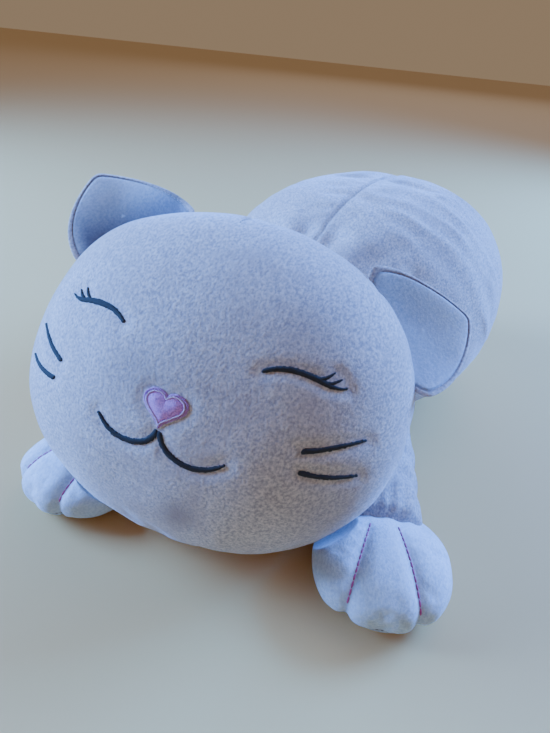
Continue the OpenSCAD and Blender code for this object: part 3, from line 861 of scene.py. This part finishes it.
class PLUSHCAT_OT_torso(bpy.types.Operator):
    """Add the loaf-shaped torso with its back seam and drapes, and the blank care label"""
    bl_idname = "plushcat.torso"
    bl_label = "Add Torso"

    def execute(self, context):
        s = sizes()
        directions, quads = ball(46)
        points = blown(directions, TORSO_HALF - 2.0, 2.12) + (0, 0, TORSO_MIDDLE)
        points[:, 2] = flattened(points[:, 2], 5.0)
        top = points[:, 2] > 25
        held = np.where((np.abs(points[:, 0]) < 3) & top, 1.0, np.where(points[:, 2] < 2.0, 0.9, 0.0))
        points = stuffed(points, quads, held, 6.0, pressure=2.2, slack=0.035)
        points, quads = divided(points * MM, quads)
        points /= MM
        out = normals(points, quads)
        x, y, z = points.T
        above = step_up(z, 4, 40)
        seam = dip(x, 1.7) * step_up(z, 14, 40)
        # folds hang round the cat's left side, behind the ear, and fade towards the back seam and the rump
        along = y + 0.5 * (z - TORSO_MIDDLE)
        drawn = np.stack([x * 0.25, along, (z - 0.3 * y) * 0.25], 1)
        ridge = lambda size, seed: 1 - 2.2 * np.abs(waves(drawn, size, seed)) ** 1.1
        flank = step_up(x, 10, 75) * step_up(z, 18, 80) * step_up(-y, -110, 0)
        flank = flank * (0.35 + 0.75 * step_up(waves(points, 55, 21), -0.25, 0.35))
        folds = (ridge(26, 11) * 1.3 + ridge(14, 12) * 0.4) * flank
        other = step_up(-x, 30, 90) * step_up(z, 15, 60) * 0.5
        far_folds = ridge(30, 14) * other
        neck = step_up(-y, 88, 128)
        round_neck = np.arctan2(z - 95, x)
        gathers = np.sin(round_neck * 17 + waves(points, 60, 15) * 3) * neck * above
        rump = step_up(y, 105, 160) * above
        tucks = np.sin(np.arctan2(z - 60, x) * 11 + waves(points, 50, 16) * 4) * rump
        pucker = waves(points, 15, 17) * dip(x, 14) * above
        move = (waves(points, 95, 18) * 3.0 * above + waves(points, 40, 19) * 1.1 * above
                + (folds + far_folds * 0.8) * s.drape_depth / MM * 0.75
                + gathers * 1.5 + tucks * 1.0 + pucker * 1.3
                - seam * s.seam_depth / MM * 0.8)
        points = points + out * move[:, None]
        points[:, 2] = np.maximum(points[:, 2], 0.35)
        rubbed = sum(share * dip(np.linalg.norm((points - place) * (1, 0.8, 1), axis=1), width)
                     for share, place, width in CRUSHED_PILE)
        made = cover("torso_cover", placed(points, TORSO), quads, ["greige_velboa"], "velboa_greige",
                     ["torso_left_panel", "torso_right_panel", "belly_panel", "torso_filling"],
                     {"seam": seam * 0.5, "rubbed": rubbed})
        tree = BVHTree.FromPolygons(points.tolist(), quads.tolist())
        line = []
        for a in np.linspace(math.radians(172), math.radians(-28), 320):
            spot, _, _, _ = tree.ray_cast(Vector((0, 0, 75)), Vector((0, math.cos(a), math.sin(a))))
            if spot is not None and spot[2] > 22:
                line.append(np.array(spot))
        p, f, v = stitches(np.array(line), 0.45, 3.2, 0.9)
        seam_piece = threads("back_seam_stitches", placed(p, TORSO), f, v, "pale_sewing_thread",
                             nodes=["back_seam"])
        for each in (made, seam_piece):
            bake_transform(each)
        # the label is a folded strip of ribbon, sewn in by its inner edge
        wide, run = 20, 34
        u, w = np.meshgrid(np.linspace(0, 1, 17), np.linspace(0, 1, 21), indexing="ij")
        spot, _, _, _ = tree.ray_cast(Vector((0, 77, 74)), Vector((-1, 0, 0)))
        root = np.array(spot)
        reach = u * wide
        curl = 5.5 * u ** 2 + 1.2 * np.sin(3.0 * w + 0.4) * u
        sheet = []
        for face in (0.35, -0.35):
            px = root[0] + 1.5 - reach * 0.78
            pz = root[2] - reach * 0.62 + curl * 0.5
            py = root[1] + (w - 0.5) * run
            sheet.append(np.stack([px - face * 0.6, py, pz + face * 0.8], -1).reshape(-1, 3))
        grid = np.arange(u.size).reshape(u.shape)
        flat = np.stack([grid[:-1, :-1], grid[1:, :-1], grid[1:, 1:], grid[:-1, 1:]], -1).reshape(-1, 4)
        faces = [tuple(q) for q in flat] + [tuple(q[::-1] + u.size) for q in flat]
        edge = np.concatenate([grid[:, 0], grid[-1, 1:], grid[::-1, -1][1:], grid[0, ::-1][1:-1]])
        for a, b in zip(edge, np.roll(edge, -1)):
            faces.append((a, a + u.size, b + u.size, b))
        label = piece("care_label_ribbon", placed(np.concatenate(sheet), TORSO), faces,
                      [material_of("white_label_satin")])
        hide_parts("care_label")
        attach(label, "torso")
        return {"FINISHED"}


def pad(half, cuts, lobes, seed, toe_depth):
    """A stuffed pad on its flat sole: +X is forward. lobes says whether two toe lines draw it in."""
    directions, quads = ball(cuts)
    middle = half[2] - 2
    points = blown(directions, half - 1.0, 2.35) + (0, 0, middle)
    points[:, 2] = flattened(points[:, 2], 2.0)
    reach = half[0] / 4

    def toe(side, at):
        slope = math.radians(13)
        across = (at[:, 1] * side - half[1] / 5) * math.cos(slope) - (at[:, 0] + reach) * math.sin(slope)
        return np.abs(across)

    def toes(at, width):
        either = np.maximum(dip(toe(1, at), width), dip(toe(-1, at), width))
        return either * step_up(at[:, 0], -reach - 6, -reach + 10)

    held = np.where(points[:, 2] < 1.6, 0.9, 0.0)
    if lobes:
        held = np.maximum(held, np.where((toes(points, 2.0) > 0.5) & (points[:, 2] > 9), 1.0, 0.0))
    points = stuffed(points, quads, held, 3.0, pressure=3.5, slack=0.01)
    points, quads = divided(points * MM, quads)
    points /= MM
    if lobes:
        points[:, 2] *= 1 - 0.22 * step_up(-points[:, 0], 0, half[0] * 0.8)
    out = normals(points, quads)
    front = step_up(points[:, 0], -half[0] * 0.3, half[0] * 0.8)
    seam = dip(points[:, 2] - 11.5, 1.9) * step_up(points[:, 0], -half[0] * 0.6, 0)
    line = np.zeros(len(points))
    move = waves(points, 34, seed) * 1.0 + waves(points, 17, seed + 1) * 0.45 - seam * 1.3
    if lobes:
        line = toes(points, 1.8) * step_up(points[:, 2], 5, 12)
        wide = toes(points, 7.5)
        move += (-toes(points, 3.4) * (1.2 + 0.9 * front) - wide * toe_depth * (0.22 + 0.5 * front)
                 + 1.2 * front)
        pinch = dip(points[:, 0] + half[0] * 0.66, 14) * step_up(points[:, 2], 20, 34)
        move += pinch * (np.sin(points[:, 1] / 2.6) * 0.9 - 1.4)
    points = points + out * move[:, None]
    points[:, 2] = np.maximum(points[:, 2], 0.35)
    return points, quads, np.maximum(seam * 0.75, line * 0.35)


def hoop(tree, height, reach):
    """A line round the front of a pad at that height, to that many degrees on each side."""
    line = []
    for a in np.radians(np.linspace(-reach, reach, 200)):
        spot, _, _, _ = tree.ray_cast(Vector((0, 0, height)), Vector((math.cos(a), math.sin(a), 0)))
        line.append(np.array(spot))
    return np.array(line)


class PLUSHCAT_OT_front_legs(bpy.types.Operator):
    """Add both front legs: gathered sleeves and three-toed paws with their stitched lines"""
    bl_idname = "plushcat.front_legs"
    bl_label = "Add Front Legs"

    def execute(self, context):
        depth = sizes().toe_depth / MM
        for k, (side, (place, splay)) in enumerate(SHOULDERS.items()):
            leg = shift((*place, 0)) @ turn(splay - 90, "Z")
            body = f"{side}_front_leg"
            points, quads, seam = pad(PAW_HALF, 26, True, 31 + 7 * k, depth)
            paw = leg @ shift((LEG_LENGTH, 0, 0))
            world = outside_head(placed(points, paw), 5.0)
            made = cover(f"{side}_paw_cover", world, quads, ["white_velboa"], "velboa_white",
                         [f"{side}_paw_top", f"{side}_paw_sole", f"{side}_paw_filling"],
                         {"seam": seam, "rubbed": np.zeros(len(points))})
            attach(made, body)
            shape = local(world, paw)
            tree = BVHTree.FromPolygons(shape.tolist(), quads.tolist())
            p, f, v = stitches(hoop(tree, 11.5, 128), 0.4, 2.0, 1.6)
            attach(threads(f"{side}_paw_stitches", placed(p, paw), f, v, nodes=[f"{side}_paw_seam"]), body)
            parts = []
            for sign in (-1, 1):
                at = np.linspace(0, 1, 9)
                run = -PAW_HALF[0] / 4 + at * (PAW_HALF[0] * 1.13)
                off = sign * (PAW_HALF[1] / 5 + (run + PAW_HALF[0] / 4) * math.tan(math.radians(13)))
                stops = np.stack([run, off], 1)
                flat = curve_through(stops, 0.6)
                trail = []
                for x, y in flat:
                    spot, normal, _, _ = tree.ray_cast(Vector((x, y, 90)), Vector((0, 0, -1)))
                    if spot is not None and spot[2] > 12:
                        trail.append(np.array(spot) + 0.1 * np.array(normal))
                parts.append(stitches(np.array(trail), 0.65, 5.0, 0.0))
            p, f, v = joined(parts)
            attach(threads(f"{side}_toe_threads", placed(p, paw), f, v, "rose_sewing_thread",
                            [f"{side}_toe_stitches"]), body)
            # the sleeve: from inside the torso to the paw, lower and wider towards it, and gathered there
            x = np.linspace(-118, 110, 84)
            t = np.clip(x / 105, 0, 1)
            start, end = step_up(x, -122, -96), 1 - step_up(x, 98, 114)
            ring = np.clip(np.minimum(start, end), 0.02, 1) ** 0.5
            wide, high = (29.5 + 1.5 * t) * ring, (28.2 - 6.5 * t) * ring
            centre = np.stack([x, np.zeros_like(x), 29.0 - 6.6 * t + 30 * step_up(-x, 0, 90)], 1)
            across, up = np.tile((0.0, 1.0, 0.0), (len(x), 1)), np.tile((0.0, 0.0, 1.0), (len(x), 1))
            tube_points, tube_faces = tube(centre, across, up, wide, high, 72)
            body_points = tube_points[:-2]
            around = np.arctan2(body_points[:, 2] - 25, body_points[:, 1])
            radial = np.stack([np.zeros(len(body_points)), np.cos(around), np.sin(around)], 1)
            near_paw = step_up(body_points[:, 0], 62, 94)
            creases = np.sin(body_points[:, 0] / 4.4 + 2.2 * np.sin(around * 2 + k))
            creases = creases * step_up(body_points[:, 0], 10, 40) * (1 - near_paw)
            gathers = np.sin(around * 13) * near_paw
            move = gathers * 1.1 + creases * 1.0 + waves(body_points, 26, 41 + k) * 1.6
            tube_points[:-2] += radial * move[:, None]
            world = placed(tube_points, leg)
            world[:, 2] = flattened(world[:, 2] / MM - 0.3, 1.5) * MM + 0.3 * MM
            world = outside_head(world, 5.0)
            # painted shade: the seam mark is at least 0.4 over the whole sleeve for the head's shadow on it,
            # with a darker line along its seam that is partly dirt and partly painted shade
            seam = np.zeros(len(tube_points))
            seam[:-2] = np.maximum(dip(np.abs(around) - 1.9, 0.05) * 0.9, 0.4)
            sleeve = cover(f"{side}_sleeve_cover", world, tube_faces, ["greige_velboa"], "velboa_greige",
                           [f"{side}_leg_sleeve", f"{side}_leg_filling"],
                           {"seam": seam, "rubbed": np.zeros(len(tube_points))})
            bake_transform(sleeve)
        return {"FINISHED"}


class PLUSHCAT_OT_hind_feet(bpy.types.Operator):
    """Add both hind feet, sewn on at the heel"""
    bl_idname = "plushcat.hind_feet"
    bl_label = "Add Hind Feet"

    def execute(self, context):
        for k, (side, sign) in enumerate((("left", 1), ("right", -1))):
            points, quads, seam = pad(HIND_HALF, 20, False, 61 + 5 * k, 0)
            # the heel runs back and up into the torso, where it is sewn on
            heel = step_up(-points[:, 0], 8, HIND_HALF[0])
            points[:, 0] -= 42 * heel
            points[:, 2] += 20 * heel ** 1.5
            foot = (TORSO @ shift((sign * HEEL[0], HEEL[1], 0)) @ turn(-sign * HIND_TURN, "Z")
                    @ shift((0, HIND_HALF[0] - HIND_HEEL_IN + 1, 0)) @ turn(90, "Z"))
            # the pale sole is the underside, below the stitched seam
            centre = points[quads].mean(1)
            picks = (centre[:, 2] < 8).astype(int)
            made = cover(f"{side}_hind_cover", placed(points, foot), quads, ["greige_velboa", "white_velboa"],
                         "velboa_greige",
                         [f"{side}_hind_foot", f"{side}_hind_sole", f"{side}_hind_filling"],
                         {"seam": seam, "rubbed": np.zeros(len(points))}, picks)
            tree = BVHTree.FromPolygons(points.tolist(), quads.tolist())
            p, f, v = stitches(hoop(tree, 8, 140), 0.38, 2.0, 1.6)
            stitching = threads(f"{side}_hind_stitches", placed(p, foot), f, v)
            for each in (made, stitching):
                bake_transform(each)
        return {"FINISHED"}


class PLUSHCAT_OT_tail(bpy.types.Operator):
    """Add the short stuffed tail"""
    bl_idname = "plushcat.tail"
    bl_label = "Add Tail"

    def execute(self, context):
        root = TORSO @ shift(TAIL_ROOT) @ turn(TAIL_TURN, "Z") @ turn(-TAIL_DROOP, "X")
        way = np.linspace(0, 1, 24)
        arc = np.stack([14 * way * (way - 1), TAIL_LENGTH * way, np.zeros_like(way)], 1)
        ahead = arc[-1] - arc[-2]
        ahead /= np.linalg.norm(ahead)
        tip = arc[-1] + ahead * np.sin(np.linspace(0, np.pi / 2, 10))[1:, None] * (TAIL_RADIUS - 0.2)
        inner = np.stack([np.zeros(10), np.linspace(-24, -2, 10), np.zeros(10)], 1)
        centre = np.concatenate([inner, arc, tip])
        tip_size = np.cos(np.linspace(0, np.pi / 2, 10))[1:].clip(0.04)
        size = np.concatenate([np.linspace(0.8, 1, 10), np.ones(24), tip_size]) * TAIL_RADIUS
        heading = np.gradient(centre, axis=0)
        heading /= np.linalg.norm(heading, axis=1)[:, None]
        up = np.tile((0.0, 0.0, 1.0), (len(centre), 1))
        across = np.cross(heading, up)
        across /= np.linalg.norm(across, axis=1)[:, None]
        points, faces = tube(centre, -across, up, size, size, 64)
        ring = points[:-2].reshape(len(centre), 64, 3)
        out = ring - centre[:, None]
        out /= np.maximum(np.linalg.norm(out, axis=2), 1e-6)[..., None]
        angle = np.linspace(0, 2 * np.pi, 64, endpoint=False)
        crease = np.sin(np.arange(len(centre)) / 2.1)[:, None] * dip(angle - np.pi, 0.9)[None] * 0.7
        seam = np.tile(dip(angle - 1.5 * np.pi, 0.1), (len(centre), 1))
        swell = waves(ring.reshape(-1, 3), 22, 71).reshape(len(centre), 64)
        ring = ring + out * ((swell * 0.8 + crease - seam * 1.2) * (size / TAIL_RADIUS)[:, None])[..., None]
        points[:-2] = ring.reshape(-1, 3)
        world = placed(points, root)
        world[:, 2] = flattened(world[:, 2] / MM - 0.3, 1.0) * MM + 0.3 * MM
        marks = {"seam": np.concatenate([seam.ravel(), [0, 0]]), "rubbed": np.zeros(len(points))}
        made = cover("tail_velboa", world, faces, ["greige_velboa"], "velboa_greige",
                     ["tail_cover", "tail_filling"], marks)
        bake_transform(made)
        return {"FINISHED"}


TOY_MIDDLE = Vector((-0.03, -0.12, 0.1))


class PLUSHCAT_OT_stage(bpy.types.Operator):
    """Add the camera, the plain pale floor and the soft lights"""
    bl_idname = "plushcat.stage"
    bl_label = "Add Stage"

    def execute(self, context):
        scene = context.scene
        data = bpy.data.cameras.new("camera")
        data.sensor_fit, data.sensor_height, data.lens = "VERTICAL", 36.0, 27.26
        data.clip_start, data.clip_end = 0.01, 60
        camera = bpy.data.objects.new("camera", data)
        azimuth, elevation, roll = math.radians(16.4966), math.radians(30.2765), math.radians(5.66)
        level_back = Vector((math.sin(azimuth), -math.cos(azimuth), 0))
        back = level_back * math.cos(elevation) + Vector((0, 0, math.sin(elevation)))
        right = Vector((math.cos(azimuth), math.sin(azimuth), 0))
        up = back.cross(right)
        level = right * math.cos(roll) + up * math.sin(roll)
        tipped = -right * math.sin(roll) + up * math.cos(roll)
        basis = Matrix((level, tipped, back)).transposed().to_4x4()
        camera.matrix_world = Matrix.Translation((0.0809, -0.5793, 0.3298)) @ basis
        scene.collection.objects.link(camera)
        scene.camera = camera

        mesh = bpy.data.meshes.new("floor")
        side = 14.0
        corners = [(-side, -side, 0), (side, -side, 0), (side, side, 0), (-side, side, 0)]
        mesh.from_pydata(corners, [], [(0, 1, 2, 3)])
        floor = bpy.data.objects.new("floor", mesh)
        material, _, _ = blank_material("matt_painted_board", **{
            "Base Color": (*scene.plush_cat_colours.floor, 1.0),
            "Roughness": 0.7, "IOR": 1.5, "Specular IOR Level": 0.2})
        mesh.materials.append(material)
        scene.collection.objects.link(floor)

        for name, place, size, energy, colour in (
                ("far_light", (0, 5.0, 4.0), 5.0, 100, "#a3c0ff"),
                ("window_light", (-1.75, -0.5, 0.8), 1.0, 165, "#62a2ff"),
                ("back_light", (1.35, 1.1, 1.0), 0.9, 190, "#4f96ff"),
                ("front_light", (0.3, -1.9, 1.5), 1.4, 3.0, "#ffe6d0")):
            light = bpy.data.lights.new(name, "AREA")
            light.size, light.energy, light.color = size, energy, linear(colour)[:3]
            lamp = bpy.data.objects.new(name, light)
            lamp.location = place
            aim = TOY_MIDDLE - Vector(place)
            lamp.rotation_euler = aim.to_track_quat("-Z", "Y").to_euler()
            scene.collection.objects.link(lamp)
        sky = bpy.data.lights.new("ceiling_light", "SUN")
        sky.energy, sky.angle, sky.color = 0.6, math.radians(50), linear("#c9e2ff")[:3]
        panel = bpy.data.objects.new("ceiling_light", sky)
        panel.rotation_euler = (-Vector((0.3, 0.5, 1.0))).to_track_quat("-Z", "Y").to_euler()
        scene.collection.objects.link(panel)
        world = bpy.data.worlds.new("studio")
        world.use_nodes = True
        tree = world.node_tree
        tree.nodes.clear()
        # a warm fill lights the toy, and the backdrop behind the floor shows a little brighter than it
        seen = add(tree, "ShaderNodeLightPath").outputs["Is Camera Ray"]
        strength = add(tree, "ShaderNodeMapRange", sockets={"Value": seen, "To Min": 0.22, "To Max": 0.38})
        fill = add(tree, "ShaderNodeBackground", sockets={
            "Color": linear("#e0c09c"), "Strength": strength.outputs[0]})
        add(tree, "ShaderNodeOutputWorld", sockets={"Surface": fill.outputs[0]})
        scene.world = world
        return {"FINISHED"}


class PLUSHCAT_PT_panel(bpy.types.Panel):
    """The plush cat's pieces, sizes and colours"""
    bl_idname = "PLUSHCAT_PT_panel"
    bl_label = "Plush Cat"
    bl_space_type = "VIEW_3D"
    bl_region_type = "UI"
    bl_category = "Plush Cat"

    def draw(self, context):
        layout = self.layout
        for group in (context.scene.plush_cat_sizes, context.scene.plush_cat_colours):
            box = layout.box()
            for key in group.__annotations__:
                box.prop(group, key)
        for operator in OPERATORS:
            layout.operator(operator.bl_idname)


OPERATORS = (PLUSHCAT_OT_stage, PLUSHCAT_OT_head, PLUSHCAT_OT_face, PLUSHCAT_OT_ears, PLUSHCAT_OT_torso,
             PLUSHCAT_OT_front_legs, PLUSHCAT_OT_hind_feet, PLUSHCAT_OT_tail)
CLASSES = (PLUSHCAT_Sizes, PLUSHCAT_Colours, *OPERATORS, PLUSHCAT_PT_panel)


def register():
    for each in CLASSES:
        bpy.utils.register_class(each)
    bpy.types.Scene.plush_cat_sizes = bpy.props.PointerProperty(type=PLUSHCAT_Sizes)
    bpy.types.Scene.plush_cat_colours = bpy.props.PointerProperty(type=PLUSHCAT_Colours)


def unregister():
    del bpy.types.Scene.plush_cat_colours
    del bpy.types.Scene.plush_cat_sizes
    for each in reversed(CLASSES):
        bpy.utils.unregister_class(each)


def main():
    register()
    for operator in OPERATORS:
        group, name = operator.bl_idname.split(".")
        getattr(getattr(bpy.ops, group), name)()


if __name__ == "__main__":
    main()
